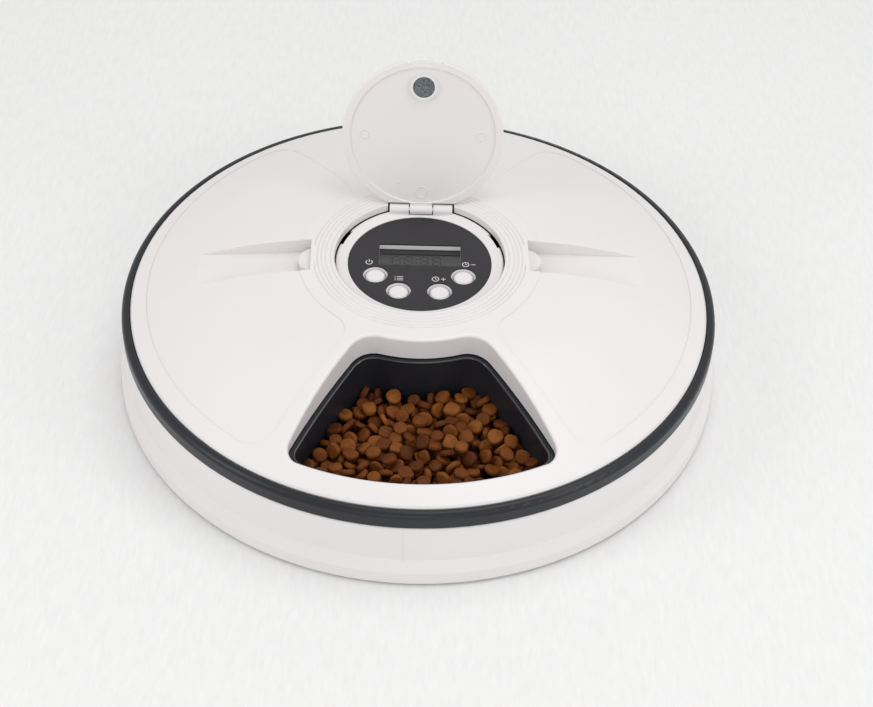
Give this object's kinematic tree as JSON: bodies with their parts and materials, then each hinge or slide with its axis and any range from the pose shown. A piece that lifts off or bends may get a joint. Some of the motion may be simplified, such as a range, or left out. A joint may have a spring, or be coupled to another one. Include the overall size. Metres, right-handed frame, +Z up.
{
  "type": "automatic pet feeder",
  "caption": "Round timed pet feeder with a turning compartment tray under a domed lid with one serving window, and a control panel under a flip-up cover.",
  "frame": {"origin": "on the floor under the middle of the round base", "axes": "+Z up; -Y towards the serving window; +X to the right as seen from the window side"},
  "size_m": [0.325, 0.325, 0.1532],
  "materials": {
    "white_shell": "satin moulded plastic",
    "dark_tray": "glossy moulded plastic",
    "label": "matte printed plate",
    "rubber": "matte",
    "zinc": "zinc plated",
    "nickel": "nickel plated",
    "acetal": "natural acetal",
    "cell_jacket": "printed film",
    "grey_plastic": "moulded",
    "motor_steel": "drawn steel",
    "board": "solder resist",
    "lcd": "reflective display",
    "magnet": "sintered ferrite",
    "kibble": "baked dry food"
  },
  "bodies": {
    "base": {"base_shell": "white_shell", "base_plate": "white_shell", "base_plate_screws": "zinc", "battery_holder": "grey_plastic", "battery_contacts": "nickel", "drive_gear_axle": "zinc", "axle_clip": "zinc", "motor_bracket": "zinc", "motor_bracket_screws": "zinc", "gearbox": "grey_plastic", "drive_motor": "motor_steel", "glide_ring": "acetal", "control_housing": "white_shell", "control_housing_screws": "zinc", "hinge_pin": "zinc", "catch_plate": "zinc", "panel_label": "label", "display_frame": "acetal", "lcd_display": "lcd", "circuit_board": "board", "display_pins": "nickel", "tact_switches": "grey_plastic", "lid_shell": "white_shell", "latch_clips": "white_shell", "rubber_foot_1": "rubber", "rubber_foot_2": "rubber", "rubber_foot_3": "rubber", "rubber_foot_4": "rubber", "rubber_foot_5": "rubber", "rubber_foot_6": "rubber", "battery_1": "cell_jacket", "battery_2": "cell_jacket", "battery_3": "cell_jacket"},
    "tray": {"food_tray": "dark_tray", "ring_gear": "acetal", "kibble_portion": "kibble"},
    "drive_gear": {"drive_gear": "acetal"},
    "motor_output": {"motor_pinion": "acetal", "output_shaft": "zinc"},
    "cover": {"flip_cover": "white_shell", "cover_magnet": "magnet"},
    "latch_right": {"latch_right": "white_shell"},
    "latch_left": {"latch_left": "white_shell"},
    "battery_door": {"battery_door": "white_shell", "battery_door_strips": "nickel"},
    "button_on_off": {"button_on_off": "white_shell"},
    "button_set": {"button_set": "white_shell"},
    "button_time_up": {"button_time_up": "white_shell"},
    "button_time_down": {"button_time_down": "white_shell"}
  },
  "joints": [
    {"name": "tray_turn", "type": "hinge", "parent": "base", "child": "tray", "pos_m": [0, 0, 0], "axis": [0, 0, 1], "continuous": true},
    {"name": "drive_gear_spin", "type": "hinge", "parent": "base", "child": "drive_gear", "pos_m": [0, -0.0405, 0.014], "axis": [0, 0, 1], "continuous": true},
    {"name": "motor_output_spin", "type": "hinge", "parent": "base", "child": "motor_output", "pos_m": [0, -0.018, 0.014], "axis": [0, 0, 1], "continuous": true},
    {"name": "cover_hinge", "type": "hinge", "parent": "base", "child": "cover", "pos_m": [0, 0.0416, 0.0706], "axis": [1, 0, 0], "range_deg": [0, 103]},
    {"name": "latch_right_press", "type": "slide", "parent": "base", "child": "latch_right", "axis": [-0.9996, -0.0279, 0], "range_m": [0, 0.0022], "stiffness_N_per_m": 600, "springref_m": -0.002},
    {"name": "latch_left_press", "type": "slide", "parent": "base", "child": "latch_left", "axis": [0.9996, 0.0279, 0], "range_m": [0, 0.0022], "stiffness_N_per_m": 600, "springref_m": -0.002},
    {"name": "battery_door_slide", "type": "slide", "parent": "base", "child": "battery_door", "axis": [0, 1, 0], "range_m": [0, 0.045]},
    {"name": "button_on_off_press", "type": "slide", "parent": "base", "child": "button_on_off", "axis": [0, 0, -1], "range_m": [0, 0.0008], "stiffness_N_per_m": 600, "springref_m": -0.001},
    {"name": "button_set_press", "type": "slide", "parent": "base", "child": "button_set", "axis": [0, 0, -1], "range_m": [0, 0.0008], "stiffness_N_per_m": 600, "springref_m": -0.001},
    {"name": "button_time_up_press", "type": "slide", "parent": "base", "child": "button_time_up", "axis": [0, 0, -1], "range_m": [0, 0.0008], "stiffness_N_per_m": 600, "springref_m": -0.001},
    {"name": "button_time_down_press", "type": "slide", "parent": "base", "child": "button_time_down", "axis": [0, 0, -1], "range_m": [0, 0.0008], "stiffness_N_per_m": 600, "springref_m": -0.001}
  ],
  "couplings": [
    {"joint": "drive_gear_spin", "follows": "tray_turn", "ratio": 4},
    {"joint": "motor_output_spin", "follows": "tray_turn", "ratio": -6}
  ]
}
